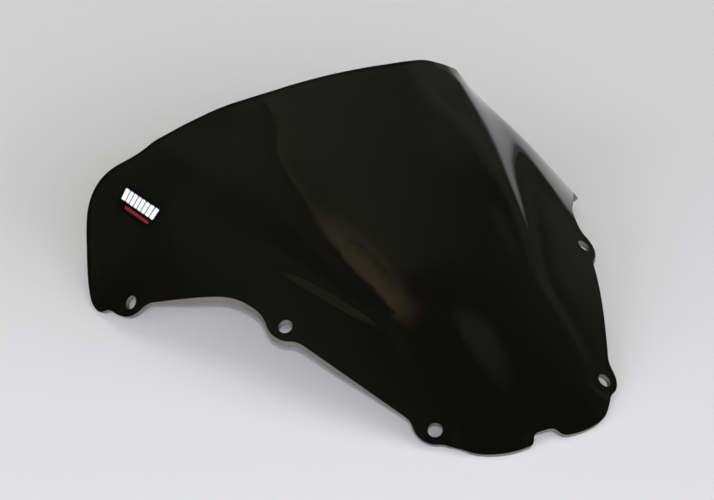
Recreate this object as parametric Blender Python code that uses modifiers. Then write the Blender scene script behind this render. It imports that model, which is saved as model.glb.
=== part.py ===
"""Double-bubble windshield screen for a sport motorcycle.

One smoked acrylic sheet, formed, trimmed and drilled for six fairing screws,
with a small film label on its left wing.

Frame: the screen rests on its nose and on its two wing tips, on z = 0.
x = 0 is the plane of symmetry, -Y is the nose (direction of travel), +Y is
the rider's side and +Z is up. Left and right are as seen from ahead of the
nose, so left is -X. The origin is on the ground below the middle of the
screen's length. The tables are in millimetres and count y from the nose;
the meshes are in metres, with y = ORIGIN_Y moved to 0.
"""
import math

import bmesh
import bpy
import numpy as np
from mathutils import Vector
from mathutils.geometry import delaunay_2d_cdt

MM = 0.001
ORIGIN_Y = 177.65      # half way from nose to wing tips

# ---------------------------------------------------------------- dimensions
SHEET_T = 3.5          # sheet thickness
HOLE_R = 4.75          # fairing screw hole
PAD_R = 11.0           # flat seat pressed around each hole
PAD_BLEND = 7.0        # width of the seat's blend back into the form

# Hole centres on the left side, (x, y), nose to rear.
HOLES = [(-64.2, 32.2), (-115.4, 142.0), (-175.3, 256.3)]

# Cross-sections of the form. At each station y the section is a raised
# bubble, a valley beside it, and a wing that falls away to the side.
# Each bend has its distance from the centre line, slope and softness.
STATION_Y = (0.0, 80.0, 160.0, 230.0, 290.0, 350.0)
SECTION_TABLES = {
    "crown_z": (5.7, 48.7, 82.6, 105.4, 130.4, 156.2),    # height on the centre line
    "bubble_x": (29.0, 44.6, 59.0, 71.3, 71.2, 91.1),     # shoulder of the bubble
    "bubble_fall": (0.16, 0.64, 1.23, 1.25, 1.39, 2.20),
    "bubble_soft": (25.5, 22.2, 15.2, 17.9, 18.7, 11.9),
    "valley_x": (40.8, 52.0, 65.6, 76.6, 93.7, 121.8),    # where the flank opens out
    "valley_fall": (0.63, 0.44, 0.30, 0.25, -0.09, 0.05),
    "valley_soft": (7.9, 7.0, 8.1, 8.6, 15.9, 34.2),
    "wing_x": (69.7, 90.1, 106.8, 120.4, 122.1, 119.9),   # where the wing turns down
    "wing_fall": (0.18, 0.45, 0.83, 1.32, 1.51, 1.25),
    "wing_soft": (24.0, 25.9, 29.1, 32.4, 24.1, 12.2),
}

# A fold along each side, raised on its inner half and sunk on its outer half,
# at its own stations.
CREASE_Y = (120.0, 160.0, 200.0, 240.0, 280.0, 310.0)
CREASE_TABLES = {
    "height": (3.0, 5.3, 9.0, 10.4, 7.0, 2.3),
    "x": (63.1, 77.3, 88.3, 100.3, 110.9, 120.8),         # distance from the centre line
    "half_width": (5.5, 8.5, 15.1, 20.4, 15.1, 6.9),
}
CREASE_OVERRUN = 10.0  # the splines are followed this far past the end stations
CREASE_START_Y = 112.0  # the fold fades in about here
CREASE_FADE = 7.0      # length scale of the fade

# Meshing of the flat blank
CELL = 7.5             # spacing of the forming lattice
ROW_PITCH = CELL * 0.866
LATTICE_FRONT_Y = -4.0
LATTICE_REAR_Y = 362.0
LATTICE_SIDE_X = -195.0
STEEP_X = -110.0       # beyond this the wing is steep, so cells are closer in plan
STEEP_CELL = CELL * 0.72
EDGE_CLEARANCE = 0.5 * CELL   # lattice to trim line
RING_CLEARANCE = 0.42 * CELL  # lattice to the rings round the holes
RING_R = 7.4           # mesh ring round each hole, inside the seat
CIRCLE_SEGMENTS = 24
EDGE_STEP = 5.0        # spacing of points along the trim line
EDGE_LEAST = 1.2       # closest two trim line points may be
CENTRE_POINTS = 34     # points on the centre line, both ends included
MERGE_DISTANCE = 0.05  # joins the two halves at the centre line
SHARP_ANGLE = 40.0     # degrees; edges above this are shaded sharp

# ------------------------------------------------------------ surface of form


def natural_spline(knots, values):
    """Cubic spline through (knots, values) with free ends."""
    knots = np.asarray(knots, float)
    values = np.asarray(values, float)
    count = len(knots)
    gap = np.diff(knots)
    matrix = np.zeros((count, count))
    right = np.zeros(count)
    matrix[0, 0] = matrix[-1, -1] = 1.0
    for i in range(1, count - 1):
        matrix[i, i - 1:i + 2] = gap[i - 1], 2 * (gap[i - 1] + gap[i]), gap[i]
        right[i] = 6 * ((values[i + 1] - values[i]) / gap[i]
                        - (values[i] - values[i - 1]) / gap[i - 1])
    curve = np.linalg.solve(matrix, right)   # second derivatives at the knots

    def value_at(y):
        i = np.clip(np.searchsorted(knots, y) - 1, 0, count - 2)
        after, before = knots[i + 1] - y, y - knots[i]
        return ((curve[i] * after**3 + curve[i + 1] * before**3) / (6 * gap[i])
                + (values[i] / gap[i] - curve[i] * gap[i] / 6) * after
                + (values[i + 1] / gap[i] - curve[i + 1] * gap[i] / 6) * before)

    return value_at


def splines(stations, tables):
    return {name: natural_spline(stations, table) for name, table in tables.items()}


SECTION = splines(STATION_Y, SECTION_TABLES)
CREASE = splines(CREASE_Y, CREASE_TABLES)


def bend(x, start, soft):
    """0 inside |x| < start, then rising with slope 1, rounded off by soft."""
    return (0.5 * (np.sqrt((x - start)**2 + soft**2) + np.sqrt((x + start)**2 + soft**2))
            - np.sqrt(start**2 + soft**2))


def crease_z(x, y):
    """Depth of the fold below the plain section; negative where it is raised."""
    y = np.clip(y, CREASE_Y[0] - CREASE_OVERRUN, CREASE_Y[-1] + CREASE_OVERRUN)
    crease = {name: spline(y) for name, spline in CREASE.items()}
    across = (np.abs(x) - crease["x"]) / crease["half_width"]
    fade = 1 + np.exp((CREASE_START_Y - y) / CREASE_FADE)
    return crease["height"] * across * np.exp(-0.5 * across * across) / fade


def form_z(x, y):
    """Height of the form's outer face over the plan point (x, y)."""
    at = {name: spline(y) for name, spline in SECTION.items()}
    bubble, valley, wing = (bend(x, at[part + "_x"], at[part + "_soft"])
                            for part in ("bubble", "valley", "wing"))
    drop = (at["bubble_fall"] * bubble
            - (at["bubble_fall"] - at["valley_fall"]) * valley
            + (at["wing_fall"] - at["valley_fall"]) * wing)
    return at["crown_z"] - drop - crease_z(x, y)


def form_normal(x, y, step=0.25):
    """Unit normal of the form, from central differences."""
    slope_x = (form_z(x + step, y) - form_z(x - step, y)) / (2 * step)
    slope_y = (form_z(x, y + step) - form_z(x, y - step)) / (2 * step)
    normal = np.array([-slope_x, -slope_y, 1.0])
    return normal / np.linalg.norm(normal)


class TangentFrame:
    """The form's tangent plane at (x, y): one axis level, the other up the slope."""

    def __init__(self, x, y):
        self.origin = np.array([x, y, float(form_z(x, y))])
        self.normal = form_normal(x, y)
        level = np.cross([0.0, 0.0, 1.0], self.normal)
        self.level = level / np.linalg.norm(level)
        self.upslope = np.cross(self.normal, self.level)


class Seat(TangentFrame):
    """A flat seat pressed round a screw hole, in the form's tangent plane."""

    def plane_z(self, x, y):
        normal, origin = self.normal, self.origin
        return origin[2] - (normal[0] * (x - origin[0])
                            + normal[1] * (y - origin[1])) / normal[2]

    def distance(self, x, y):
        """Distance from the hole's centre, measured in the seat's plane."""
        dx, dy = x - self.origin[0], y - self.origin[1]
        dz = self.plane_z(x, y) - self.origin[2]
        return np.sqrt(dx * dx + dy * dy + dz * dz)

    def circle(self, radius):
        """Plan points of a circle drawn on the seat."""
        points = []
        for i in range(CIRCLE_SEGMENTS):
            angle = 2 * math.pi * i / CIRCLE_SEGMENTS
            spoke = math.cos(angle) * self.level + math.sin(angle) * self.upslope
            points.append(tuple((self.origin + radius * spoke)[:2]))
        return points


SEATS = [Seat(x, y) for x, y in HOLES]


def screen_z(x, y):
    """Outer face of the left half, x <= 0: the form with its flat seats."""
    z = form_z(x, y)
    for seat in SEATS:
        outward = np.clip((seat.distance(x, y) - PAD_R) / PAD_BLEND, 0.0, 1.0)
        weight = 1.0 - outward * outward * (3.0 - 2.0 * outward)
        z = z * (1 - weight) + seat.plane_z(x, y) * weight
    return z


# ------------------------------------------------------------------ trim line

# Left half of the trim line in plan, (x, y), from the notch round to the rim's middle.
NOTCH = [(0.0, 3.3), (-5.6, 3.3), (-7.6, 2.6), (-8.8, 1.0), (-10.0, -1.4), (-11.4, -2.6)]
NOSE = [(-13.6, -3.3), (-17.0, -3.5), (-24.0, -3.5), (-31.0, -2.6), (-40.5, 0.4), (-49.8, 6.5),
        (-55.5, 12.4), (-60.2, 18.0)]
FRONT_TAB = [(-62.4, 21.0), (-65.2, 23.2), (-68.8, 25.4), (-71.6, 28.2), (-74.0, 31.6),
             (-75.4, 35.2), (-75.9, 39.0), (-75.6, 43.0)]
SIDE = [(-76.6, 47.0), (-79.6, 52.8), (-84.4, 62.0), (-92.8, 78.8), (-101.1, 96.4),
        (-107.6, 111.6), (-110.6, 119.2)]
MIDDLE_TAB = [(-112.6, 124.4), (-114.8, 128.4), (-117.6, 131.4), (-120.4, 134.4), (-122.8, 138.6),
              (-124.4, 143.0), (-125.1, 147.6), (-124.5, 152.4), (-124.0, 157.6)]
ARCH = [(-124.6, 163.6), (-126.6, 170.5), (-130.4, 180.6), (-136.6, 191.6), (-145.0, 203.6),
        (-153.4, 215.8), (-161.2, 228.0), (-165.6, 235.2)]
REAR_TAB = [(-168.4, 240.0), (-171.0, 242.4), (-174.2, 244.0), (-177.4, 246.8), (-179.8, 250.4),
            (-181.8, 255.2), (-183.2, 260.4), (-183.9, 265.4)]
WING_TIP = [(-184.4, 270.4), (-185.4, 274.4), (-187.1, 277.2), (-188.4, 281.0), (-188.7, 286.0),
            (-188.3, 292.5), (-187.1, 299.0), (-183.2, 311.4), (-178.0, 324.4), (-172.9, 336.0),
            (-167.7, 347.2), (-162.4, 355.4), (-156.8, 358.4), (-150.8, 357.3), (-144.4, 352.6)]
RIM = [(-131.2, 338.0), (-117.1, 327.4), (-101.7, 318.6), (-85.1, 309.2), (-76.4, 304.6),
       (-66.8, 300.7), (-56.2, 298.6), (-45.0, 297.8), (-30.0, 298.0), (0.0, 298.4)]
TRIM_POINTS = NOTCH + NOSE + FRONT_TAB + SIDE + MIDDLE_TAB + ARCH + REAR_TAB + WING_TIP + RIM


def between(t, start, end, first, last):
    """The point at t on the line that is at first when t = start, at last when t = end."""
    return (end - t) / (end - start) * first + (t - start) / (end - start) * last


def smooth_line(points, step):
    """A centripetal Catmull-Rom line through the points, about step apart."""
    knots = [np.array(point, float) for point in points]
    knots = [2 * knots[0] - knots[1]] + knots + [2 * knots[-1] - knots[-2]]
    line = []
    for i in range(1, len(knots) - 2):
        p0, p1, p2, p3 = knots[i - 1:i + 3]
        t0 = 0.0
        t1 = t0 + math.sqrt(np.linalg.norm(p1 - p0))
        t2 = t1 + math.sqrt(np.linalg.norm(p2 - p1))
        t3 = t2 + math.sqrt(np.linalg.norm(p3 - p2))
        count = max(1, int(round(np.linalg.norm(p2 - p1) / step)))
        for j in range(count):
            t = t1 + (t2 - t1) * j / count
            a1 = between(t, t0, t1, p0, p1)
            a2 = between(t, t1, t2, p1, p2)
            a3 = between(t, t2, t3, p2, p3)
            b1 = between(t, t0, t2, a1, a2)
            b2 = between(t, t1, t3, a2, a3)
            line.append(tuple(between(t, t1, t2, b1, b2)))
    line.append(tuple(knots[-2]))
    return line


def thin_out(line, least):
    """Drops points closer than least to the one before them, but keeps the last."""
    kept = [line[0]]
    for point in line[1:]:
        if math.dist(point, kept[-1]) >= least:
            kept.append(point)
    kept[-1] = line[-1]
    return kept


# --------------------------------------------------------------------- blank


def inside(point, loop):
    """Even-odd test of a plan point against a closed loop."""
    x, y = point
    odd = False
    for (x1, y1), (x2, y2) in zip(loop, loop[1:] + loop[:1]):
        if (y1 > y) != (y2 > y) and x < (x2 - x1) * (y - y1) / (y2 - y1) + x1:
            odd = not odd
    return odd


def distance_to(point, loop):
    """Distance in plan from a point to the nearest side of a closed loop."""
    starts = np.array(loop)
    sides = np.roll(starts, -1, axis=0) - starts
    point = np.array(point)
    along = np.clip(((point - starts) * sides).sum(1) / (sides**2).sum(1), 0, 1)
    return float(np.sqrt(((starts + sides * along[:, None] - point)**2).sum(1)).min())


def lattice(outline, rings):
    """Staggered rows of points, clear of the trim line and of the rings."""
    points = []
    row = 0
    y = LATTICE_FRONT_Y
    while y < LATTICE_REAR_Y:
        x = -0.5 * CELL - (0.5 * CELL if row % 2 else 0.0)
        while x > LATTICE_SIDE_X:
            point = (x, y)
            if (inside(point, outline) and distance_to(point, outline) > EDGE_CLEARANCE
                    and all(not inside(point, ring) and distance_to(point, ring) > RING_CLEARANCE
                            for ring in rings)):
                points.append(point)
            x -= CELL if x > STEEP_X else STEEP_CELL
        y += ROW_PITCH
        row += 1
    return points


def blank_half():
    """The left half of the sheet, laid flat: points, triangles."""
    trim = thin_out(smooth_line(TRIM_POINTS, EDGE_STEP), EDGE_LEAST)
    centre_y = np.linspace(trim[-1][1], trim[0][1], CENTRE_POINTS)[1:-1]
    outline = trim + [(0.0, y) for y in centre_y]
    bores = [seat.circle(HOLE_R) for seat in SEATS]
    rings = [seat.circle(RING_R) for seat in SEATS]

    points, edges = [], []
    loops = [outline]
    for bore, ring in zip(bores, rings):
        loops += [bore, ring]
    for loop in loops:
        first, count = len(points), len(loop)
        points += loop
        edges += [(first + i, first + (i + 1) % count) for i in range(count)]
    points += lattice(outline, rings)

    # no input faces, output type 0 (triangles over the convex hull), tolerance 1e-7
    verts, _, faces, *_ = delaunay_2d_cdt([Vector(p) for p in points], edges, [], 0, 1e-7)
    verts = [tuple(vert) for vert in verts]
    triangles = []
    for face in faces:
        middle = tuple(sum(verts[i][axis] for i in face) / 3 for axis in (0, 1))
        if inside(middle, outline) and not any(inside(middle, bore) for bore in bores):
            triangles.append(tuple(face))
    return verts, triangles


# ------------------------------------------------------------ scene and meshes


def clear_scene():
    for ob in list(bpy.data.objects):
        bpy.data.objects.remove(ob, do_unlink=True)


def material(name, colour, roughness):
    mat = bpy.data.materials.new(name)
    mat.use_nodes = True
    shader = mat.node_tree.nodes["Principled BSDF"]
    shader.inputs["Base Color"].default_value = (*colour, 1.0)
    shader.inputs["Roughness"].default_value = roughness
    shader.inputs["IOR"].default_value = 1.49
    mat.diffuse_color = (*colour, 1.0)
    return mat


def sheet_object(name, coords, faces, collection, mat):
    """An open surface with its faces towards +Z, to be given a thickness."""
    mesh = bpy.data.meshes.new(name)
    mesh.from_pydata([(x * MM, (y - ORIGIN_Y) * MM, z * MM) for x, y, z in coords], [], faces)
    bm = bmesh.new()
    bm.from_mesh(mesh)
    for face in bm.faces:
        if face.normal.z < 0:
            face.normal_flip()
    loose = [vert for vert in bm.verts if not vert.link_faces]
    bmesh.ops.delete(bm, geom=loose, context="VERTS")
    bm.to_mesh(mesh)
    bm.free()
    mesh.update()
    mesh.materials.append(mat)
    mesh.shade_smooth()
    mesh.set_sharp_from_angle(angle=math.radians(SHARP_ANGLE))
    ob = bpy.data.objects.new(name, mesh)
    collection.objects.link(ob)
    return ob


def solidify(ob, thickness, offset):
    """Thickens a sheet; offset -1 grows it inwards, 1 outwards."""
    mod = ob.modifiers.new("Thickness", "SOLIDIFY")
    mod.thickness = thickness * MM
    mod.offset = offset
    mod.use_even_offset = True
    mod.use_quality_normals = True


def build_panel(collection):
    """Half a blank, pressed to shape, mirrored and thickened inwards."""
    smoke = material("smoked_acrylic", colour=(0.012, 0.012, 0.010), roughness=0.04)
    plan, triangles = blank_half()
    coords = [(x, y, float(screen_z(x, y))) for x, y in plan]
    panel = sheet_object("screen_panel", coords, triangles, collection, smoke)
    mirror = panel.modifiers.new("Right half", "MIRROR")
    mirror.use_axis = (True, False, False)
    mirror.use_mirror_merge = True
    mirror.merge_threshold = MERGE_DISTANCE * MM
    solidify(panel, SHEET_T, offset=-1.0)


# --------------------------------------------------------------------- label

LABEL_AT = (-145.6, 306.5)   # plan point under the label's middle
LABEL_TURN = 7.5             # degrees its front end is turned up from level
LABEL_GAP = 0.3              # below the film and below each print
FILM_T = 0.2
PRINT_T = 0.2
PRINT_LIFT = LABEL_GAP + FILM_T + LABEL_GAP
CORNER_POWER = 8             # higher keeps the corner rounding nearer the corners
PROJECTION_STEPS = 12        # iterations that bring a label point onto the form


class LabelPlace(TangentFrame):
    """Label axes on the outer face: forward to the nose, and up the wing."""

    def __init__(self):
        super().__init__(*LABEL_AT)
        turn = math.radians(LABEL_TURN)
        self.forward = math.cos(turn) * self.level + math.sin(turn) * self.upslope
        self.up = np.cross(self.normal, self.forward)

    def point(self, forward, up, lift):
        """A point over the outer face, lift above it along its normal."""
        flat = self.origin + forward * self.forward + up * self.up
        foot, shift = flat, 0.0
        for _ in range(PROJECTION_STEPS):
            shift += (float(form_z(foot[0], foot[1])) - foot[2]) * self.normal[2]
            foot = flat + shift * self.normal
        return foot + lift * form_normal(foot[0], foot[1])


def rounded_patch(place, centre, size, corner_pull, lift, cells):
    """A patch on the wing, its corners pulled in to soften them: coords, quads."""
    columns, rows = cells
    coords, quads = [], []
    for j in range(rows + 1):
        for i in range(columns + 1):
            a, b = 2 * i / columns - 1, 2 * j / rows - 1
            pull = corner_pull * abs(a)**CORNER_POWER * abs(b)**CORNER_POWER
            forward = a * size[0] / 2 - math.copysign(pull, a)
            up = b * size[1] / 2 - math.copysign(pull, b)
            coords.append(place.point(centre[0] + forward, centre[1] + up, lift))
    for j in range(rows):
        for i in range(columns):
            k = j * (columns + 1) + i
            quads.append((k, k + 1, k + columns + 2, k + columns + 1))
    return coords, quads


def build_label(collection):
    """A dark film carrying a white bar and, below it, a red strip."""
    film = material("label_film_black", colour=(0.010, 0.010, 0.011), roughness=0.25)
    white = material("label_print_white", colour=(0.80, 0.80, 0.80), roughness=0.35)
    red = material("label_print_red", colour=(0.45, 0.03, 0.03), roughness=0.35)
    place = LabelPlace()
    # name, material, thickness, then centre and size (along, up), corner pull, lift, cells
    layers = [
        ("label_film", film, FILM_T, (0.0, 0.0), (52.0, 20.0), 1.8, LABEL_GAP, (10, 4)),
        ("label_white_bar", white, PRINT_T, (0.0, 2.6), (46.0, 7.4), 0.6, PRINT_LIFT, (10, 3)),
        ("label_red_strip", red, PRINT_T, (3.0, -4.9), (36.0, 3.0), 0.3, PRINT_LIFT, (10, 2)),
    ]
    for name, mat, thickness, *patch in layers:
        ob = sheet_object(name, *rounded_patch(place, *patch), collection, mat)
        solidify(ob, thickness, offset=1.0)


def main():
    clear_scene()
    screen = bpy.data.collections.new("windshield_screen")
    bpy.context.scene.collection.children.link(screen)
    build_panel(screen)
    build_label(screen)


main()
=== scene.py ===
"""Smoked windshield screen with a label on the wing of its -X half.

The nose points to -Y, the rear rim to +Y and the outer face upwards; the sheet
is symmetric about x = 0. Design tables are millimetres with y counted from the
nose; to_frame() turns them into the frame's metres. The sheet's -X half is
built from its form, screw seats and trim line, then mirrored. The label is a
film with prints laid over it.
"""
import math

import bpy
import numpy as np
from mathutils import Matrix, Vector
from mathutils.geometry import delaunay_2d_cdt


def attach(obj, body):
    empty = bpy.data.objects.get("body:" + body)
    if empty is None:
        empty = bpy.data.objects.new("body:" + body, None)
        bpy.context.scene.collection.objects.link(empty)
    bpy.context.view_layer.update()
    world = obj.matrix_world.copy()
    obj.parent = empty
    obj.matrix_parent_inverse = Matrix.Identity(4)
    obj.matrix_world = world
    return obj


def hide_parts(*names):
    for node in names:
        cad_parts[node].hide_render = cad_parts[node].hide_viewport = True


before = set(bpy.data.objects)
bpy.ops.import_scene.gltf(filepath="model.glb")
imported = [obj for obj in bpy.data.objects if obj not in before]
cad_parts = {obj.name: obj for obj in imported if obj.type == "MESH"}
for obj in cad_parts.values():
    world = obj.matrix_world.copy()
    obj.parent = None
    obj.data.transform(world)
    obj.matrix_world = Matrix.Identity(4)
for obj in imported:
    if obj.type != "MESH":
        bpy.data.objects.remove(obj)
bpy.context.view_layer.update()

MM = 0.001
ORIGIN_Y = 177.65      # the frame's origin, counted from the nose

# ---------------------------------------------------------------- dimensions
SHEET_T = 3.5
HOLE_D = 9.5
HOLE_POINTS = 40
PAD_R = 11.0           # flat part of a screw seat
PAD_BLEND = 7.0        # width over which it runs out into the form
ARRIS = 0.35           # rounding of the trimmed edges
ARRIS_STEPS = 4
LINE_STEP = 0.8        # spacing along the raw trim curve
EDGE_STEP = 1.5        # spacing of points along the trim line

# lattice of face points
CELL = 2.7             # spacing along x
ROW_PITCH = 0.866      # row spacing, as a share of CELL
WING_LINE = -105.0     # beyond this x the lattice is finer
WING_CELL = 0.7        # its spacing there, as a share of CELL
WING_CLEAR = 0.8       # and its clearance from the cuts, as a share of the normal one
BORDER_CLEAR = 0.62    # clearance from the cuts, as a share of CELL
LATTICE_Y = (-4.0, 362.0)
LATTICE_END_X = -195.0
FOOT_BLEND = 13.0      # how far the inner face is drawn over to meet the cuts
FOOT_AVERAGE = 2.0     # softness of the averaging over nearby edge points
CHUNK = 64             # points compared at a time, to limit memory

# Cross-sections at STATION_Y: height of the crown; for each bend, its x, the
# slope (fall per mm) of the zone outside it, and its softness
STATION_Y = (0.0, 80.0, 160.0, 230.0, 290.0, 350.0)
STATION_TABLES = {
    "crown": (5.7, 48.7, 82.6, 105.4, 130.4, 156.2),
    "bubble_x": (29.0, 44.6, 59.0, 71.3, 71.2, 91.1),
    "bubble": (0.16, 0.64, 1.23, 1.25, 1.39, 2.20),
    "bubble_soft": (25.5, 22.2, 15.2, 17.9, 18.7, 11.9),
    "valley_x": (40.8, 52.0, 65.6, 76.6, 93.7, 121.8),
    "valley": (0.63, 0.44, 0.30, 0.25, -0.09, 0.05),
    "valley_soft": (7.9, 7.0, 8.1, 8.6, 15.9, 34.2),
    "wing_x": (69.7, 90.1, 106.8, 120.4, 122.1, 119.9),
    "wing": (0.18, 0.45, 0.83, 1.32, 1.51, 1.25),
    "wing_soft": (24.0, 25.9, 29.1, 32.4, 24.1, 12.2),
}

# The fold line where the bubble turns down into the valley, at CREASE_Y
CREASE_Y = (120.0, 160.0, 200.0, 240.0, 280.0, 310.0)
CREASE_TABLES = {
    "height": (3.0, 5.3, 9.0, 10.4, 7.0, 2.3),
    "at": (63.1, 77.3, 88.3, 100.3, 110.9, 120.8),
    "width": (5.5, 8.5, 15.1, 20.4, 15.1, 6.9),
}
CREASE_REACH = 10.0              # the tables hold this far past their ends
CREASE_FADE_Y, CREASE_FADE = 112.0, 7.0    # where, and how softly, the fold sets in

HOLES = ((-64.2, 32.2), (-115.4, 142.0), (-175.3, 256.3))    # x, y, from the front

# Trim line of the -X half, (x, y) from the centre of the nose to that of the rim
NOTCH = [(0.0, 3.3), (-5.6, 3.3), (-7.6, 2.6), (-8.8, 1.0), (-10.0, -1.4), (-11.4, -2.6)]
NOSE = [(-13.6, -3.3), (-17.0, -3.5), (-24.0, -3.5), (-31.0, -2.6), (-40.5, 0.4), (-49.8, 6.5),
        (-55.5, 12.4), (-60.2, 18.0)]
FRONT_TAB = [(-62.4, 21.0), (-65.2, 23.2), (-68.8, 25.4), (-71.6, 28.2), (-74.0, 31.6),
             (-75.4, 35.2), (-75.9, 39.0), (-75.6, 43.0)]
SIDE = [(-76.6, 47.0), (-79.6, 52.8), (-84.4, 62.0), (-92.8, 78.8), (-101.1, 96.4),
        (-107.6, 111.6), (-110.6, 119.2)]
MIDDLE_TAB = [(-112.6, 124.4), (-114.8, 128.4), (-117.6, 131.4), (-120.4, 134.4), (-122.8, 138.6),
              (-124.4, 143.0), (-125.1, 147.6), (-124.5, 152.4), (-124.0, 157.6)]
ARCH = [(-124.6, 163.6), (-126.6, 170.5), (-130.4, 180.6), (-136.6, 191.6), (-145.0, 203.6),
        (-153.4, 215.8), (-161.2, 228.0), (-165.6, 235.2)]
REAR_TAB = [(-168.4, 240.0), (-171.0, 242.4), (-174.2, 244.0), (-177.4, 246.8), (-179.8, 250.4),
            (-181.8, 255.2), (-183.2, 260.4), (-183.9, 265.4)]
WING_TIP = [(-184.4, 270.4), (-185.4, 274.4), (-187.1, 277.2), (-188.4, 281.0), (-188.7, 286.0),
            (-188.3, 292.5), (-187.1, 299.0), (-183.2, 311.4), (-178.0, 324.4), (-172.9, 336.0),
            (-167.7, 347.2), (-162.4, 355.4), (-156.8, 358.4), (-150.8, 357.3), (-144.4, 352.6)]
RIM = [(-131.2, 338.0), (-117.1, 327.4), (-101.7, 318.6), (-85.1, 309.2), (-76.4, 304.6),
       (-66.8, 300.7), (-56.2, 298.6), (-45.0, 297.8), (-30.0, 298.0), (0.0, 298.4)]
TRIM_LINE = NOTCH + NOSE + FRONT_TAB + SIDE + MIDDLE_TAB + ARCH + REAR_TAB + WING_TIP + RIM

# label: centre in plan, turn in the face (degrees), and its layers
LABEL_AT = (-145.6, 306.5)
LABEL_TURN = 7.5
LABEL_GAP = 0.06
FILM_SIZE, FILM_R, FILM_T = (50.0, 18.4), 2.2, 0.12
PRINT_GAP = 0.02
PRINT_T = 0.07
STICKER_INSET = 0.05   # how far a sticker's top edge is drawn in
BLOCK_WIDTHS = (5.2, 4.4, 5.0, 4.2, 4.8, 4.6, 5.0, 4.4)
BLOCK_H, BLOCK_R, BLOCK_GAP = 8.4, 0.7, 1.05
BLOCK_START, BLOCK_ROW = -22.6, 2.6    # left end and centre height of the row
LINE_AT, LINE_SIZE, LINE_R = (3.0, -4.9), (34.0, 2.2), 0.45

# camera: place in table millimetres, angles in degrees
CAMERA_AT = (-879.60, -1365.07, 1058.16)
CAMERA_AZIMUTH, CAMERA_ELEVATION, CAMERA_ROLL = -28.472, 29.503, 0.290
SENSOR_WIDTH = 36.0
FOCAL_LENGTH = 151.260504
FLASH_OFFSET = (0.0, -0.05, 0.115)     # metres from the camera

# ------------------------------------------------------------ surface of form


def natural_spline(knots, values):
    """Cubic spline through (knots, values) with free ends."""
    knots = np.asarray(knots, float)
    values = np.asarray(values, float)
    count = len(knots)
    gap = np.diff(knots)
    system = np.zeros((count, count))
    load = np.zeros(count)
    system[0, 0] = system[-1, -1] = 1.0
    for i in range(1, count - 1):
        system[i, i - 1:i + 2] = gap[i - 1], 2 * (gap[i - 1] + gap[i]), gap[i]
        load[i] = 6 * ((values[i + 1] - values[i]) / gap[i]
                       - (values[i] - values[i - 1]) / gap[i - 1])
    moment = np.linalg.solve(system, load)

    def at(y):
        y = np.asarray(y, float)
        i = np.clip(np.searchsorted(knots, y) - 1, 0, count - 2)
        after, before = knots[i + 1] - y, y - knots[i]
        return (moment[i] * after**3 + moment[i + 1] * before**3) / (6 * gap[i]) \
            + (values[i] / gap[i] - moment[i] * gap[i] / 6) * after \
            + (values[i + 1] / gap[i] - moment[i + 1] * gap[i] / 6) * before

    return at


STATIONS = {name: natural_spline(STATION_Y, row) for name, row in STATION_TABLES.items()}
CREASE = {name: natural_spline(CREASE_Y, row) for name, row in CREASE_TABLES.items()}


def bend(x, at, soft):
    """0 inside |x| < at, then rising with slope 1, rounded off by soft."""
    return 0.5 * (np.sqrt((x - at)**2 + soft**2) + np.sqrt((x + at)**2 + soft**2)) \
        - np.sqrt(at**2 + soft**2)


def form_z(x, y):
    """Height of the form's outer face over the plan point (x, y)."""
    here = {name: spline(y) for name, spline in STATIONS.items()}
    drop = here["bubble"] * bend(x, here["bubble_x"], here["bubble_soft"]) \
        - (here["bubble"] - here["valley"]) * bend(x, here["valley_x"], here["valley_soft"]) \
        + (here["wing"] - here["valley"]) * bend(x, here["wing_x"], here["wing_soft"])
    y = np.clip(y, CREASE_Y[0] - CREASE_REACH, CREASE_Y[-1] + CREASE_REACH)
    crease = {name: spline(y) for name, spline in CREASE.items()}
    off = (np.abs(x) - crease["at"]) / crease["width"]
    fold = crease["height"] * off * np.exp(-0.5 * off * off) \
        / (1 + np.exp((CREASE_FADE_Y - y) / CREASE_FADE))
    return here["crown"] - drop - fold


def normals_of(height, x, y, step=0.2):
    """Unit normals of the surface z = height(x, y), one row per point."""
    slope_x = (height(x + step, y) - height(x - step, y)) / (2 * step)
    slope_y = (height(x, y + step) - height(x, y - step)) / (2 * step)
    normal = np.stack([-slope_x, -slope_y, np.ones_like(slope_x)], -1)
    return normal / np.linalg.norm(normal, axis=-1, keepdims=True)


def tangent_frame(x, y):
    """Point on the form, its normal, and the level and uphill directions there."""
    origin = np.array([x, y, float(form_z(x, y))])
    normal = normals_of(form_z, np.array([float(x)]), np.array([float(y)]))[0]
    level = np.cross([0.0, 0.0, 1.0], normal)
    level /= np.linalg.norm(level)
    return origin, normal, level, np.cross(normal, level)


class Seat:
    """A flat seat pressed round a screw hole, in the form's tangent plane."""

    def __init__(self, x, y):
        self.origin, self.normal, self.level, self.uphill = tangent_frame(x, y)

    def plane_z(self, x, y):
        normal, origin = self.normal, self.origin
        return origin[2] - (normal[0] * (x - origin[0]) + normal[1] * (y - origin[1])) / normal[2]

    def distance(self, x, y):
        dx, dy = x - self.origin[0], y - self.origin[1]
        dz = self.plane_z(x, y) - self.origin[2]
        return np.sqrt(dx * dx + dy * dy + dz * dz)

    def circle(self, radius, angles):
        return np.array([self.origin + radius * (math.cos(t) * self.level
                                                 + math.sin(t) * self.uphill) for t in angles])


SEATS = [Seat(*hole) for hole in HOLES]


def screen_z(x, y):
    """Outer face of the finished screen: the form with its flat seats. x <= 0."""
    z = form_z(x, y)
    for seat in SEATS:
        t = np.clip((seat.distance(x, y) - PAD_R) / PAD_BLEND, 0.0, 1.0)
        share = 1.0 - t * t * t * (t * (6.0 * t - 15.0) + 10.0)
        z = z * (1 - share) + seat.plane_z(x, y) * share
    return z


# ------------------------------------------------------- lines and plan points


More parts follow.
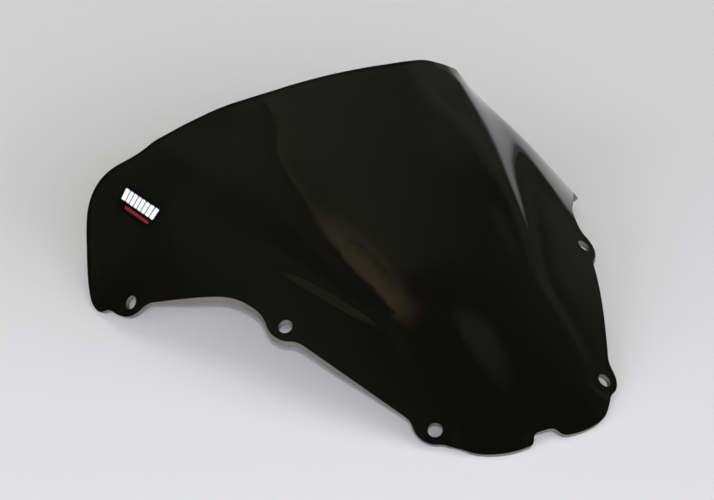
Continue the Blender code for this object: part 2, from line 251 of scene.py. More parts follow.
def through(points, step):
    """A smooth line through the points (centripetal Catmull-Rom), evenly stepped."""

    def between(t_a, t_b, a, b):
        return (t_b - t) / (t_b - t_a) * a + (t - t_a) / (t_b - t_a) * b

    knots = [np.array(point, float) for point in points]
    knots = [2 * knots[0] - knots[1]] + knots + [2 * knots[-1] - knots[-2]]
    line = []
    for i in range(1, len(knots) - 2):
        p0, p1, p2, p3 = knots[i - 1:i + 3]
        t0 = 0.0
        t1 = t0 + math.sqrt(max(np.linalg.norm(p1 - p0), 1e-6))
        t2 = t1 + math.sqrt(max(np.linalg.norm(p2 - p1), 1e-6))
        t3 = t2 + math.sqrt(max(np.linalg.norm(p3 - p2), 1e-6))
        count = max(1, int(round(np.linalg.norm(p2 - p1) / step)))
        for j in range(count):
            t = t1 + (t2 - t1) * j / count
            middle = between(t1, t2, p1, p2)
            early = between(t0, t2, between(t0, t1, p0, p1), middle)
            late = between(t1, t3, middle, between(t2, t3, p2, p3))
            line.append(between(t1, t2, early, late))
    line.append(knots[-2])
    return np.array(line)


def even(line, step):
    """The same line with evenly spaced points, a little smoothed."""
    run = np.r_[0, np.cumsum(np.linalg.norm(np.diff(line, axis=0), axis=1))]
    stops = np.linspace(0, run[-1], int(round(run[-1] / step)) + 1)
    points = np.stack([np.interp(stops, run, line[:, 0]), np.interp(stops, run, line[:, 1])], -1)
    for _ in range(2):
        points[1:-1] = 0.25 * points[:-2] + 0.5 * points[1:-1] + 0.25 * points[2:]
    return points


def smoothstep(t):
    t = np.clip(t, 0.0, 1.0)
    return t * t * (3 - 2 * t)


def unit(v):
    return v / np.maximum(np.linalg.norm(v, axis=-1, keepdims=True), 1e-12)


def points_in(loop, points):
    """Even-odd test of many plan points against one closed loop."""
    x, y = points[:, 0], points[:, 1]
    odd = np.zeros(len(points), bool)
    for (x1, y1), (x2, y2) in zip(loop, np.roll(loop, -1, axis=0)):
        if y1 == y2:
            continue
        odd ^= ((y1 > y) != (y2 > y)) & (x < (x2 - x1) * (y - y1) / (y2 - y1) + x1)
    return odd


def points_on(blank, bores, points):
    """Which plan points lie inside the blank and outside its bores."""
    inside = points_in(blank, points)
    for bore in bores:
        inside &= ~points_in(bore, points)
    return inside


def distance_to(targets, points):
    """Distance from each point to the nearest of many target points."""
    best = np.full(len(points), 1e9)
    for low in range(0, len(targets), CHUNK):
        apart = np.linalg.norm(points[:, None, :] - targets[None, low:low + CHUNK, :], axis=2)
        best = np.minimum(best, apart.min(1))
    return best


def ring_edges(count, first=0):
    return [(first + i, first + (i + 1) % count) for i in range(count)]


def triangulate(points, edges, output_type):
    """Delaunay vertices and counter-clockwise triangles of plan points.

    output_type 0 fills the convex hull, 1 only the inside of the edges.
    """
    vertices, _, faces, *_ = delaunay_2d_cdt([Vector(p) for p in points], edges, [],
                                             output_type, 1e-7)
    vertices = np.array([tuple(v) for v in vertices])
    triangles = np.array([face for face in faces if len(face) == 3])
    a, b, c = (vertices[triangles[:, i]] for i in range(3))
    clockwise = np.cross(b - a, c - a) < 0
    triangles[clockwise] = triangles[clockwise][:, ::-1]
    return vertices, triangles


# ----------------------------------------------------------------- trimmed edges


def lean_at(y):
    """How far the saw cut turns from square to the sheet (0) to upright (1)."""
    return smoothstep((y - 45) / 60.0) * (1 - smoothstep((y - 205) / 45.0))


def edge_frames(points, tangents):
    """Normal, outward, wall direction and wall normal along a trimmed edge.

    The edge runs with the sheet on its left round a hole's outside and on the
    trim line alike, so that outward points off the sheet, into the void.
    """
    x, y = points[:, 0], points[:, 1]
    normal = normals_of(screen_z, x, y)
    outward = unit(np.cross(normal, unit(tangents)))
    lean = lean_at(y)[:, None]
    wall = unit((1 - lean) * normal + lean * np.array([0.0, 0.0, 1.0]))
    wall_normal = unit(outward - (outward * wall).sum(1, keepdims=True) * wall)
    return normal, outward, wall, wall_normal


def edge_loops():
    """Points and edge frames of the open trim line, then of each closed hole."""
    line = even(through(TRIM_LINE, LINE_STEP), EDGE_STEP)
    line[0, 0] = line[-1, 0] = 0.0
    points = np.c_[line, screen_z(line[:, 0], line[:, 1])]
    tangents = np.gradient(points, axis=0)
    tangents[0] = [-1.0, 0, 0]
    tangents[-1] = [1.0, 0, 0]
    frames = edge_frames(points, tangents)
    for direction in frames:        # no sideways part on the centre line
        direction[0, 0] = direction[-1, 0] = 0.0
    normal, *others = frames
    loops = [(points, normal, *map(unit, others))]
    angles = np.linspace(0, 2 * math.pi, HOLE_POINTS, endpoint=False)
    for seat in SEATS:
        points = seat.circle(HOLE_D / 2, angles)
        tangents = np.roll(points, -1, axis=0) - np.roll(points, 1, axis=0)
        loops.append((points, *edge_frames(points, tangents)))
    return loops


def arris_rows(start, corner, end, first_normal, last_normal):
    """Rows of (points, normals) rounding one corner of the cut."""
    rows = []
    for k in range(ARRIS_STEPS + 1):
        t = k / ARRIS_STEPS
        points = (1 - t)**2 * start + 2 * t * (1 - t) * corner + t * t * end
        angle = 0.5 * math.pi * t
        rows.append((points, unit(math.cos(angle) * first_normal
                                  + math.sin(angle) * last_normal)))
    return rows


def rows_of_edge(top, normal, outward, wall, wall_normal):
    """Rows from the outer face, round the arris, down the cut, to the inner face."""
    length = (SHEET_T / (wall * normal).sum(1))[:, None]
    rows = arris_rows(top - ARRIS * outward, top, top - ARRIS * wall, normal, wall_normal)
    for share in (1 / 3, 2 / 3):
        rows.append((top - (ARRIS + share * (length - 2 * ARRIS)) * wall, wall_normal))
    low = top - length * wall
    rows += arris_rows(low + ARRIS * wall, low, low - ARRIS * outward, wall_normal, -normal)
    on_face = rows[0][0]        # the first row lies exactly on the outer face
    on_face[:, 2] = screen_z(on_face[:, 0], on_face[:, 1])
    return rows


# ------------------------------------------------------------------------- sheet


def face_lattice(blank, bores, border):
    """Staggered plan points filling the blank, clear of its border."""
    lattice = []
    y, row = LATTICE_Y[0], 0
    while y < LATTICE_Y[1]:
        x = -0.5 * CELL - (0.5 * CELL if row % 2 else 0.0)
        while x > LATTICE_END_X:
            lattice.append((x, y))
            x -= CELL * (1.0 if x > WING_LINE else WING_CELL)
        y += CELL * ROW_PITCH
        row += 1
    lattice = np.array(lattice)
    lattice = lattice[points_on(blank, bores, lattice)]
    clear = BORDER_CLEAR * CELL * np.where(lattice[:, 0] > WING_LINE, 1.0, WING_CLEAR)
    return lattice[distance_to(border, lattice) > clear]


def inner_face(outer, normals, feet):
    """Outer face offset inwards, drawn over near the cuts to meet their feet.

    feet holds the foot of the cut for points on an edge, NaN for the others.
    """
    plan = outer[:, :2]
    inner = outer - SHEET_T * normals
    on_edge = ~np.isnan(feet[:, 0])
    shift = np.where(on_edge[:, None], feet - inner, 0.0)
    fixed = np.where(on_edge)[0]
    free = np.where(~on_edge)[0]
    distance = distance_to(plan[fixed], plan[free])
    fall = 1 - smoothstep(distance / FOOT_BLEND)
    # average the shifts of the edge points near each free point
    total = np.zeros((len(free), 3))
    weight = np.zeros(len(free))
    for low in range(0, len(fixed), CHUNK):
        part = fixed[low:low + CHUNK]
        apart = np.linalg.norm(plan[free][:, None] - plan[part][None], axis=2)
        near = np.exp(-((apart - distance[:, None]) / FOOT_AVERAGE)**2)
        total += near @ shift[part]
        weight += near.sum(1)
    shift[free] = total / weight[:, None] * fall[:, None]
    inner = inner + shift
    inner[np.abs(outer[:, 0]) < 1e-9, 0] = 0.0
    return inner


def half_sheet():
    """The -X half: vertices, normals, (faces, material index) and edge distances."""
    loops = edge_loops()
    rows = [rows_of_edge(*loop) for loop in loops]
    outline, *bores = [loop_rows[0][0][:, :2] for loop_rows in rows]
    front_y, rear_y = outline[0, 1], outline[-1, 1]
    middle_y = np.linspace(rear_y, front_y, int(abs(rear_y - front_y) / CELL) + 1)[1:-1]
    blank = np.vstack([outline, np.c_[np.zeros(len(middle_y)), middle_y]])
    starts, edges, first = [], [], 0
    for ring in [blank] + bores:
        starts.append(first)
        edges += ring_edges(len(ring), first)
        first += len(ring)
    border = np.vstack([blank] + bores)
    plan = np.vstack([border, face_lattice(blank, bores, border)])
    vertices, triangles = triangulate(plan, edges, output_type=0)
    if len(vertices) != len(plan):
        raise RuntimeError("the blank's outline crosses itself")
    triangles = triangles[points_on(blank, bores, vertices[triangles].mean(1))]

    x, y = plan[:, 0], plan[:, 1]
    outer = np.c_[plan, screen_z(x, y)]
    normals = normals_of(screen_z, x, y)
    normals[np.abs(x) < 1e-9, 0] = 0.0
    normals = unit(normals)
    feet = np.full((len(plan), 3), np.nan)
    for start, loop_rows in zip(starts, rows):
        foot = loop_rows[-1][0]
        feet[start:start + len(foot)] = foot

    # distance of every face point from the nearest cut, for the material
    cuts = np.vstack([loop[0][:, :2] for loop in loops])
    rim = distance_to(cuts, plan) / np.maximum(normals[:, 2], 0.3)
    points = [outer, inner_face(outer, normals, feet)]
    all_normals = [normals, -normals]
    rims = [rim, rim]
    faces = [(triangles, 0), (triangles[:, ::-1] + len(plan), 0)]
    base = 2 * len(plan)
    for number, (loop_rows, start) in enumerate(zip(rows, starts)):
        count = len(loop_rows[0][0])
        ids = [np.arange(start, start + count)]
        for row_points, row_normals in loop_rows[1:-1]:
            points.append(row_points)
            all_normals.append(row_normals)
            rims.append(np.zeros(count))
            ids.append(np.arange(base, base + count))
            base += count
        ids.append(ids[0] + len(plan))
        if number > 0:          # the holes close on themselves
            ids = [np.r_[row, row[0]] for row in ids]
        strips = len(ids) - 1
        dull = ARRIS_STEPS - 1
        for k, (a, b) in enumerate(zip(ids, ids[1:])):
            quads = np.stack([a[:-1], a[1:], b[1:], b[:-1]], -1)
            # arrises are dull, but their last strip belongs to the sawn cut
            faces.append((quads, 1 if dull <= k < strips - dull else 2))
    return np.vstack(points), np.vstack(all_normals), faces, np.concatenate(rims)


def screen_mesh():
    """Both halves, welded on the centre line, with faces turned to their normals."""
    points, normals, faces, rim = half_sheet()
    on_axis = np.abs(points[:, 0]) < 1e-6
    mirrored = np.full(len(points), -1)
    mirrored[on_axis] = np.where(on_axis)[0]
    mirrored[~on_axis] = len(points) + np.arange((~on_axis).sum())
    normals = unit(normals)
    all_points = np.vstack([points, points[~on_axis] * [-1, 1, 1]])
    all_normals = np.vstack([normals, normals[~on_axis] * [-1, 1, 1]])
    polygons, indices = [], []
    for group, index in faces:
        for face in group.tolist():
            corners = all_points[face]
            if len(face) == 3:
                facing = np.cross(corners[1] - corners[0], corners[2] - corners[0])
            else:
                facing = np.cross(corners[2] - corners[0], corners[3] - corners[1])
            if (facing * all_normals[face].mean(0)).sum() < 0:
                face = face[::-1]
            polygons += [face, [int(mirrored[i]) for i in face[::-1]]]
            indices += [index, index]
    return all_points, all_normals, polygons, indices, np.r_[rim, rim[~on_axis]]


def to_frame(points):
    return (np.asarray(points, float) - [0, ORIGIN_Y, 0]) * MM


def add_object(name, mesh):
    ob = bpy.data.objects.new(name, mesh)
    bpy.context.scene.collection.objects.link(ob)
    return ob


def new_object(name, points, polygons, indices, materials, normals=None):
    mesh = bpy.data.meshes.new(name)
    mesh.from_pydata([tuple(map(float, p)) for p in to_frame(points)], [], polygons)
    for material in materials:
        mesh.materials.append(material)
    mesh.polygons.foreach_set("material_index", np.array(indices, np.int32))
    mesh.polygons.foreach_set("use_smooth", np.ones(len(polygons), bool))
    mesh.update()
    if normals is not None:
        mesh.normals_split_custom_set_from_vertices([tuple(map(float, n)) for n in normals])
    return add_object(name, mesh)


def stand_for(ob, part):
    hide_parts(part)
    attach(ob, "root")


# ----------------------------------------------------------------- node helper


class Nodes:
    """Adds and links the shader nodes of a material or world."""

    def __init__(self, owner, output="ShaderNodeOutputMaterial"):
        self.owner = owner
        owner.use_nodes = True
        self.tree = owner.node_tree
        self.tree.nodes.clear()
        self.out = self.add(output)

    def add(self, kind, **values):
        node = self.tree.nodes.new(kind)
        for name, value in values.items():
            setattr(node, name, value)
        return node

    def feed(self, socket, value):
        """Link a socket, or set a plain value; colours may leave out alpha."""
        if isinstance(value, bpy.types.NodeSocket):
            self.tree.links.new(value, socket)
        elif isinstance(value, tuple) and socket.type == "RGBA":
            socket.default_value = (*value, 1)
        else:
            socket.default_value = value

    def feed_all(self, node, values):
        """Feed inputs from a dict, or in order from a tuple."""
        for key, value in values.items() if isinstance(values, dict) else enumerate(values):
            self.feed(node.inputs[key], value)
        return node.outputs[0]

    def math(self, operation, a, b=0.0, c=None, clamp=False):
        node = self.add("ShaderNodeMath", operation=operation, use_clamp=clamp)
        return self.feed_all(node, (a, b) if c is None else (a, b, c))

    def scaled(self, value, gain, base, clamp=False):
        return self.math("MULTIPLY_ADD", value, gain, base, clamp=clamp)

    def above(self, value, threshold, gain, clamp=False):
        """What rises above the threshold, times gain."""
        rise = self.math("SUBTRACT", value, threshold, clamp=True)
        return self.math("MULTIPLY", rise, gain, clamp=clamp)

    def mix(self, factor, a, b):
        node = self.add("ShaderNodeMix", data_type="RGBA")
        self.feed_all(node, {"Factor": factor, "A": a, "B": b})
        return node.outputs["Result"]

    def mix_shader(self, factor, a, b):
        return self.feed_all(self.add("ShaderNodeMixShader"), (factor, a, b))

    def noise(self, coord, scale, detail=2.0, rough=0.5, distortion=0.0):
        return self.feed_all(self.add("ShaderNodeTexNoise"), {
            "Vector": coord, "Scale": scale, "Detail": detail, "Roughness": rough,
            "Distortion": distortion})

    def step(self, value, lo, hi, at_lo=0.0, at_hi=1.0):
        """Smooth run from at_lo to at_hi as value goes from lo to hi."""
        node = self.add("ShaderNodeMapRange", interpolation_type="SMOOTHSTEP")
        return self.feed_all(node, (value, lo, hi, at_lo, at_hi))

    def position(self):
        return self.add("ShaderNodeNewGeometry").outputs["Position"]

    def split(self, vector):
        node = self.add("ShaderNodeSeparateXYZ")
        self.feed(node.inputs[0], vector)
        return node.outputs

    def map(self, coord, scale, turn=0.0):
        """Coordinates scaled per axis and turned about Z (radians)."""
        return self.feed_all(self.add("ShaderNodeMapping"), {
            "Vector": coord, "Scale": scale, "Rotation": (0, 0, turn)})

    def bump(self, height, strength, distance):
        return self.feed_all(self.add("ShaderNodeBump"), {
            "Strength": strength, "Distance": distance, "Height": height})

    def principled(self, colour, roughness, normal, **extra):
        values = {name.replace("_", " "): value for name, value in extra.items()}
        return self.feed_all(self.add("ShaderNodeBsdfPrincipled"), {
            "Base Color": colour, "Roughness": roughness, "Normal": normal, **values})

    def surface(self, shader):
        self.feed(self.out.inputs["Surface"], shader)
        return self.owner


def material_nodes(name):
    return Nodes(bpy.data.materials.new(name))


# ------------------------------------------------------------------- materials

ACRYLIC_IOR = 1.49
SEE_THROUGH = 0.011     # share of light the smoked sheet lets through
RIM_DARK = 1.3          # mm from a cut within which nothing is seen through
REFLECTION_BAND_START = (-0.066, 0.0274)    # frame x, y (metres) of the rear end of the band where a warm reflection is painted
REFLECTION_BAND_SIN, REFLECTION_BAND_COS = 0.196, 0.981    # turn of the band, which runs forward from there


def painted_reflection_band(net, pos):
    """Mask of a rippled band in the -X valley, where a warm reflection is painted into the
    sheet's colour.
    """
    place = net.split(pos)
    dx = net.math("ADD", place["X"], -REFLECTION_BAND_START[0])
    dy = net.math("SUBTRACT", place["Y"], REFLECTION_BAND_START[1])
    along = net.math("SUBTRACT", net.math("MULTIPLY", dx, REFLECTION_BAND_SIN),
                     net.math("MULTIPLY", dy, REFLECTION_BAND_COS))
    across = net.math("ADD", net.math("MULTIPLY", dx, REFLECTION_BAND_COS),
                      net.math("MULTIPLY", dy, REFLECTION_BAND_SIN))
    ripple = net.noise(net.map(pos, scale=(150, 60, 60), turn=0.2), scale=1.0, rough=0.6,
                       distortion=1.2)
    ripple_width = 0.010
    sway = net.math("MULTIPLY", net.math("SUBTRACT", ripple, 0.5), ripple_width)
    across = net.math("ADD", across, sway)
    band = net.math("MULTIPLY", net.step(along, lo=0.0, hi=0.055),
                    net.step(along, lo=0.118, hi=0.088))
    band = net.math("MULTIPLY", band, net.step(across, lo=-0.0090, hi=-0.0045))
    return net.math("MULTIPLY", band, net.step(across, lo=0.017, hi=-0.004))


def smoked_acrylic():
    net = material_nodes("smoked_acrylic")
    pos = net.position()
    # very slight unevenness of the tint, and dust that only shows at a glance
    tint = net.noise(net.map(pos, scale=(6, 6, 6)), scale=3.0)
    colour = net.mix(tint, (0.0007, 0.0007, 0.0005), (0.0012, 0.0011, 0.0009))
    dust_threshold, dust_share = 0.765, 0.05
    dust = net.math("GREATER_THAN", net.noise(pos, scale=900.0, detail=1.0), dust_threshold)
    colour = net.mix(net.math("MULTIPLY", dust, dust_share), colour, (0.25, 0.24, 0.22))
    # painted reflection: a warm streak in the -X valley, mixed into the sheet's colour
    colour = net.mix(painted_reflection_band(net, pos), colour, (0.0150, 0.0122, 0.0050))
    # fine hairline scratches in two directions, over broad smears
    scratches = []
    for turn, fineness in ((0.5, 1.0), (-0.9, 1.3)):
        hair = net.noise(net.map(pos, scale=(900 * fineness, 16, 16), turn=turn), scale=1.0,
                         detail=3.0, rough=0.6)
        scratches.append(net.above(hair, threshold=0.60, gain=0.10))
    rough = net.math("ADD", *scratches)
    smear = net.noise(net.map(pos, scale=(14, 22, 14)), scale=1.0, detail=3.0, rough=0.55,
                      distortion=0.6)
    smear = net.above(smear, threshold=0.45, gain=0.10)
    polish = 0.022      # roughness of the clean face
    rough = net.math("ADD", net.math("ADD", rough, smear), polish)
    # shallow waviness left by forming
    wave = net.noise(net.map(pos, scale=(16, 9, 16)), scale=1.0)
    sheet = net.principled(colour, rough, net.bump(wave, strength=0.12, distance=0.002),
                           IOR=ACRYLIC_IOR)
    clear = net.add("ShaderNodeBsdfTransparent")
    net.feed(clear.inputs["Color"], (1.0, 1.0, 1.0))
    back = net.add("ShaderNodeNewGeometry").outputs["Backfacing"]
    # close to a cut the view ends in the dark saw face
    away = net.add("ShaderNodeAttribute", attribute_name="edge_mm").outputs["Fac"]
    see = net.math("MULTIPLY", net.math("GREATER_THAN", away, RIM_DARK), SEE_THROUGH)
    return net.surface(net.mix_shader(net.math("MAXIMUM", back, see), sheet, clear.outputs[0]))


def cut_edge():
    net = material_nodes("acrylic_cut_edge")
    pos = net.position()
    saw = net.noise(net.map(pos, scale=(60, 60, 1400)), scale=1.0, detail=3.0, rough=0.6)
    blotch = net.noise(pos, scale=90.0, detail=3.0, rough=0.6)
    colour = net.mix(blotch, (0.066, 0.063, 0.048), (0.118, 0.113, 0.090))
    saw_share = 0.35
    colour = net.mix(net.math("MULTIPLY", saw, saw_share), colour, (0.10, 0.095, 0.08))
    return net.surface(net.principled(
        colour, net.scaled(saw, gain=0.25, base=0.28),
        net.bump(saw, strength=0.25, distance=0.0002), IOR=ACRYLIC_IOR))


def arris():
    net = material_nodes("acrylic_arris")
    nick = net.noise(net.map(net.position(), scale=(500, 500, 500)), scale=1.0, detail=3.0,
                     rough=0.6)
    return net.surface(net.principled(
        net.mix(nick, (0.003, 0.003, 0.0025), (0.016, 0.015, 0.013)),
        net.scaled(nick, gain=0.3, base=0.35),
        net.bump(nick, strength=0.2, distance=0.0002), Specular_IOR_Level=0.25))


def film_black():
    net = material_nodes("label_film_black")
    grain = net.noise(net.position(), scale=2500.0)
    return net.surface(net.principled(
        net.mix(grain, (0.0010, 0.0010, 0.0011), (0.0022, 0.0021, 0.0021)),
        net.scaled(grain, gain=0.06, base=0.05),
        net.bump(grain, strength=0.06, distance=0.0001), Specular_IOR_Level=0.42))


def print_ink(name, low, high, rough):
    """Ink speckled between two colours and worn darker in places."""
    net = material_nodes(name)
    pos = net.position()
    dots = net.noise(pos, scale=4200.0, rough=0.6)
    wear = net.noise(pos, scale=420.0, detail=3.0, rough=0.65)
    wear = net.above(wear, threshold=0.62, gain=2.5, clamp=True)
    worn = 0.55     # brightness left where the ink is worn
    colour = net.mix(wear, net.mix(dots, low, high), tuple(c * worn for c in low))
    return net.surface(net.principled(
        colour, net.scaled(dots, gain=0.15, base=rough),
        net.bump(dots, strength=0.05, distance=0.0001)))


def paper():
    net = material_nodes("paper_floor")
    pos = net.position()
    # cool white in front, running to a warmer white behind: a painted light tint, with the warmer
    # light behind the object painted into the paper
    behind = net.scaled(net.split(pos)["Y"], gain=0.55, base=0.45, clamp=True)
    colour = net.mix(behind, (0.80, 0.80, 0.82), (0.82, 0.815, 0.785))
    # further out, from 0.8 m to 2.2 m off the centre, the floor runs darker
    out = net.add("ShaderNodeVectorMath", operation="LENGTH")
    net.feed(out.inputs[0], pos)
    far = net.step(out.outputs["Value"], lo=0.80, hi=2.20)
    fibre = net.noise(pos, scale=700.0, detail=3.0, rough=0.6)
    return net.surface(net.principled(
        net.mix(far, colour, (0.22, 0.22, 0.21)), 0.85,
        net.bump(fibre, strength=0.05, distance=0.0002), Specular_IOR_Level=0.15))


# --------------------------------------------------------------------- label


class LabelPlace:
    """Tangent frame of the outer face at the label: right runs forward, up up the wing."""

    def __init__(self):
        self.origin, self.normal, level, uphill = tangent_frame(*LABEL_AT)
        turn = math.radians(LABEL_TURN)
        self.right = math.cos(turn) * level + math.sin(turn) * uphill
        self.up = np.cross(self.normal, self.right)

    def at(self, flat, lift):
        """Label points dropped on the form, then lifted along its normal."""
        start = self.origin + flat[:, :1] * self.right + flat[:, 1:] * self.up
        slide = np.zeros(len(start))
        for _ in range(14):
            points = start + slide[:, None] * self.normal
            slide += (form_z(points[:, 0], points[:, 1]) - points[:, 2]) * self.normal[2]
        points = start + slide[:, None] * self.normal
        return points + lift * normals_of(form_z, points[:, 0], points[:, 1])


def rounded_outline(width, height, radius, steps=5):
    """Counter-clockwise outline of a rounded rectangle about the origin."""
    points = []
    x, y = width / 2 - radius, height / 2 - radius
    for centre_x, centre_y, start in ((x, y, 0), (-x, y, 90), (-x, -y, 180), (x, -y, 270)):
        for k in range(steps + 1):
            angle = math.radians(start + 90 * k / steps)
            points.append((centre_x + radius * math.cos(angle),
                           centre_y + radius * math.sin(angle)))
    return np.array(points)


def plate_mesh(outline, cell):
    """Flat plate: vertices, triangles, and how many vertices lie on its border."""
    line = []
    for a, b in zip(outline, np.roll(outline, -1, axis=0)):
        count = max(1, int(np.linalg.norm(b - a) / cell))
        line += [a + (b - a) * k / count for k in range(count)]
    line = np.array(line)
    low, high = line.min(0), line.max(0)
    inside = np.array([(x, y) for y in np.arange(low[1] + cell / 2, high[1], cell)
                       for x in np.arange(low[0] + cell / 2, high[0], cell)]).reshape(-1, 2)
    inside = inside[points_in(line, inside)]
    inside = inside[distance_to(line, inside) > 0.55 * cell]
    vertices, triangles = triangulate(np.vstack([line, inside]), ring_edges(len(line)),
                                      output_type=1)
    return vertices, triangles, len(line)


def sticker(name, place, shapes, base, thick, material, cell=1.6):
    """Thin rounded plates laid over the wing, each (centre, outline points)."""
    points, polygons = [], []
    first = 0
    for centre, outline in shapes:
        flat, triangles, rim = plate_mesh(outline, cell)
        # bottom at full size, top with its edge drawn in by a hair
        inset = flat.copy()
        inward = flat[:rim].mean(0) - flat[:rim]
        inset[:rim] += inward / np.linalg.norm(inward, axis=1, keepdims=True) * STICKER_INSET
        points += [place.at(flat + centre, base), place.at(inset + centre, base + thick)]
        top = first + len(flat)
        polygons += (triangles[:, ::-1] + first).tolist()
        polygons += (triangles + top).tolist()
        polygons += [[first + i, first + j, top + j, top + i] for i, j in ring_edges(rim)]
        first += 2 * len(flat)
    ob = new_object(name, np.vstack(points), polygons, [0] * len(polygons), (material,))
    ob.data.set_sharp_from_angle(angle=math.radians(40))
    return ob


# --------------------------------------------------------------------- build


def build_panel():
    points, normals, polygons, indices, rim = screen_mesh()
    panel = new_object("smoked_screen", points, polygons, indices,
                       (smoked_acrylic(), cut_edge(), arris()), normals)
    rim_data = panel.data.attributes.new("edge_mm", "FLOAT", "POINT")
    rim_data.data.foreach_set("value", rim.astype(np.float32))
    stand_for(panel, "screen_panel")


def build_label():
    place = LabelPlace()
    film = sticker("label_carrier", place, [(np.zeros(2), rounded_outline(*FILM_SIZE, FILM_R))],
                   LABEL_GAP, FILM_T, film_black())
    stand_for(film, "label_film")

    lift = LABEL_GAP + FILM_T + PRINT_GAP
    blocks = []
    left = BLOCK_START
    for width in BLOCK_WIDTHS:
        blocks.append((np.array([left + width / 2, BLOCK_ROW]),
                       rounded_outline(width, BLOCK_H, BLOCK_R)))
        left += width + BLOCK_GAP
    white = print_ink("label_print_white", low=(0.80, 0.81, 0.86), high=(0.90, 0.91, 0.96),
                      rough=0.30)
    bar = sticker("label_white_blocks", place, blocks, lift, PRINT_T, white, cell=1.3)
    stand_for(bar, "label_white_bar")

    red = print_ink("label_print_red", low=(0.15, 0.009, 0.009), high=(0.24, 0.016, 0.015),
                    rough=0.32)
    strip = sticker("label_red_line", place,
                    [(np.array(LINE_AT), rounded_outline(*LINE_SIZE, LINE_R))],
                    lift, PRINT_T, red)
    stand_for(strip, "label_red_strip")


# --------------------------------------------------------------------- stage


def build_floor():
    mesh = bpy.data.meshes.new("floor")
    corners = [(-4, -3.5, 0), (4, -3.5, 0), (4, 4.5, 0), (-4, 4.5, 0)]
    mesh.from_pydata(corners, [], [(0, 1, 2, 3)])
    floor = add_object("floor", mesh)
    mesh.materials.append(paper())


def aim(back, roll):
    """Rotation whose z axis is back, with its x axis level but for the roll (degrees)."""
    back = unit(np.array(back, float))
    right = unit(np.cross([0, 0, 1.0], back))
    up = np.cross(back, right)
    roll = math.radians(roll)
    right, up = (math.cos(roll) * right + math.sin(roll) * up,
                 -math.sin(roll) * right + math.cos(roll) * up)
    return Matrix((tuple(right), tuple(up), tuple(back))).transposed().to_4x4()


def build_camera():
    data = bpy.data.cameras.new("camera")
    data.sensor_width = SENSOR_WIDTH
    data.sensor_fit = "HORIZONTAL"
    data.lens = FOCAL_LENGTH
    data.clip_start = 0.05
    data.clip_end = 50.0
    camera = add_object("camera", data)
    azimuth, elevation = math.radians(CAMERA_AZIMUTH), math.radians(CAMERA_ELEVATION)
    back = (math.sin(azimuth) * math.cos(elevation), -math.cos(azimuth) * math.cos(elevation),
            math.sin(elevation))
    camera.matrix_world = Matrix.Translation(Vector(to_frame(CAMERA_AT))) @ aim(back, CAMERA_ROLL)
    bpy.context.scene.camera = camera


def build_flash():
    """A small flash above the lens."""
    data = bpy.data.lights.new("flash", "POINT")
    data.energy = 66.0
    data.shadow_soft_size = 0.03
    data.color = (1.0, 0.99, 0.96)
    flash = add_object("flash", data)
    flash.location = Vector(to_frame(CAMERA_AT)) + Vector(FLASH_OFFSET)


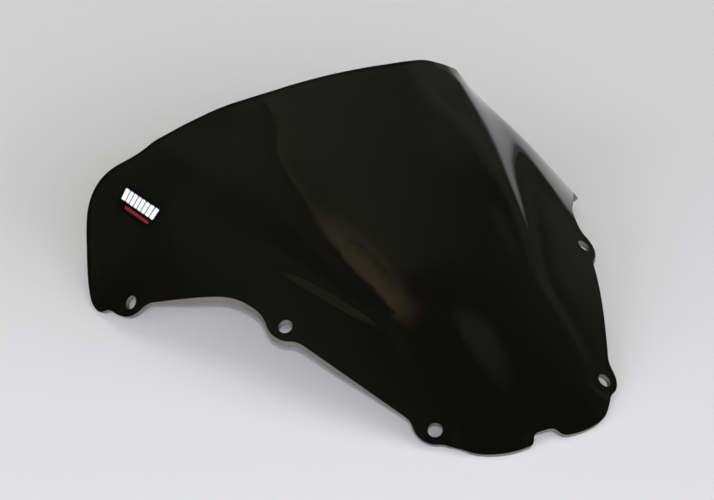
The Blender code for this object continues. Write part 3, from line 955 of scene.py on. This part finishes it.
def build_world():
    """A mirrored room for glossy rays, soft light for the rest, plain grey for the camera."""
    world = bpy.data.worlds.new("room")
    bpy.context.scene.world = world
    net = Nodes(world, output="ShaderNodeOutputWorld")
    path = net.add("ShaderNodeLightPath").outputs
    ray = net.add("ShaderNodeTexCoord").outputs["Generated"]
    ray_x, ray_y, ray_z = net.split(ray)

    def combine(operation, a, b):
        return net.math(operation, a, b, 0.0)

    def towards(azimuth, elevation):
        """Cosine of the angle between the ray and a direction (azimuth from +Y towards +X)."""
        side, rise = math.radians(azimuth), math.radians(elevation)
        node = net.add("ShaderNodeVectorMath", operation="DOT_PRODUCT")
        net.feed_all(node, (ray, (math.sin(side) * math.cos(rise),
                                  math.cos(side) * math.cos(rise), math.sin(rise))))
        return node.outputs["Value"]

    def glow(azimuth, elevation, inner, outer, amount):
        """A soft round patch of light: full inside inner degrees, gone at outer."""
        return net.step(towards(azimuth, elevation), lo=math.cos(math.radians(outer)),
                        hi=math.cos(math.radians(inner)), at_hi=amount)

    def background(colour, strength):
        return net.feed_all(net.add("ShaderNodeBackground"), (colour, strength))

    # what the polished sheet mirrors: a dim room, a lit ceiling strip over and
    # behind the object, and three round glows
    level = combine("MULTIPLY", net.step(ray_y, lo=0.45, hi=0.85, at_lo=0.060, at_hi=0.030),
                    net.step(ray_x, lo=-0.55, hi=-0.85, at_lo=1.0, at_hi=0.7))
    strip_left = net.step(ray_x, lo=0.07, hi=0.15)
    front_skew = 0.30       # slant of the strip's front edge
    strip_front = net.step(combine("SUBTRACT", ray_y, combine("MULTIPLY", ray_x, front_skew)),
                           lo=0.02, hi=0.10)
    right_falloff = 1.3
    strip_right = combine("POWER", net.step(ray_x, lo=0.75, hi=0.05), right_falloff)
    strip_back = net.step(ray_y, lo=0.80, hi=0.35)
    strip = combine("MULTIPLY", combine("MULTIPLY", strip_left, strip_front),
                    combine("MULTIPLY", strip_right, strip_back))
    strip_level = 0.165
    level = combine("ADD", level, combine("MULTIPLY", strip, strip_level))
    # azimuth, elevation, inner and outer radius (degrees), amount
    for patch in ((-39.0, 59.0, 4.0, 30.0, 0.05), (60.0, 25.0, 4.0, 20.0, 0.05),
                  (90.0, 66.3, 0.5, 4.6, 0.12)):
        level = combine("ADD", level, glow(*patch))
    tone = net.add("ShaderNodeCombineColor")
    green = combine("MULTIPLY", level, net.scaled(strip, gain=0.03, base=1.0))
    blue = combine("MULTIPLY", level, net.scaled(strip, gain=-0.18, base=0.80))
    net.feed_all(tone, (level, green, blue))

    # low, slightly blue daylight from the camera's side and a warmer lit
    # ceiling behind the object
    near_side = net.step(towards(azimuth=-162.0, elevation=0.0), lo=-0.1, hi=0.7)
    low_light = combine("MULTIPLY", near_side,
                        net.step(ray_z, lo=0.33, hi=0.74, at_lo=4.4, at_hi=0.0))
    ceiling = net.step(towards(azimuth=25.0, elevation=68.0), lo=0.75, hi=0.96,
                       at_lo=0.05, at_hi=0.68)
    sky = net.add("ShaderNodeCombineColor")
    daylight_rgb, ceiling_rgb = (0.97, 0.98, 1.10), (1.02, 1.0, 0.86)
    for channel, (cool, warm) in enumerate(zip(daylight_rgb, ceiling_rgb)):
        net.feed(sky.inputs[channel], combine("ADD", combine("MULTIPLY", low_light, cool),
                                              combine("MULTIPLY", ceiling, warm)))
    soft = background(sky.outputs[0], strength=1.0)
    room = background(tone.outputs[0], strength=1.0)
    pale = background((0.80, 0.80, 0.79), strength=0.70)
    light = net.mix_shader(path["Is Glossy Ray"], soft, room)
    net.surface(net.mix_shader(path["Is Camera Ray"], light, pale))


build_panel()
build_label()
build_floor()
build_camera()
build_flash()
build_world()

bpy.context.scene.view_settings.view_transform = "Standard"
bpy.context.scene.view_settings.look = "None"
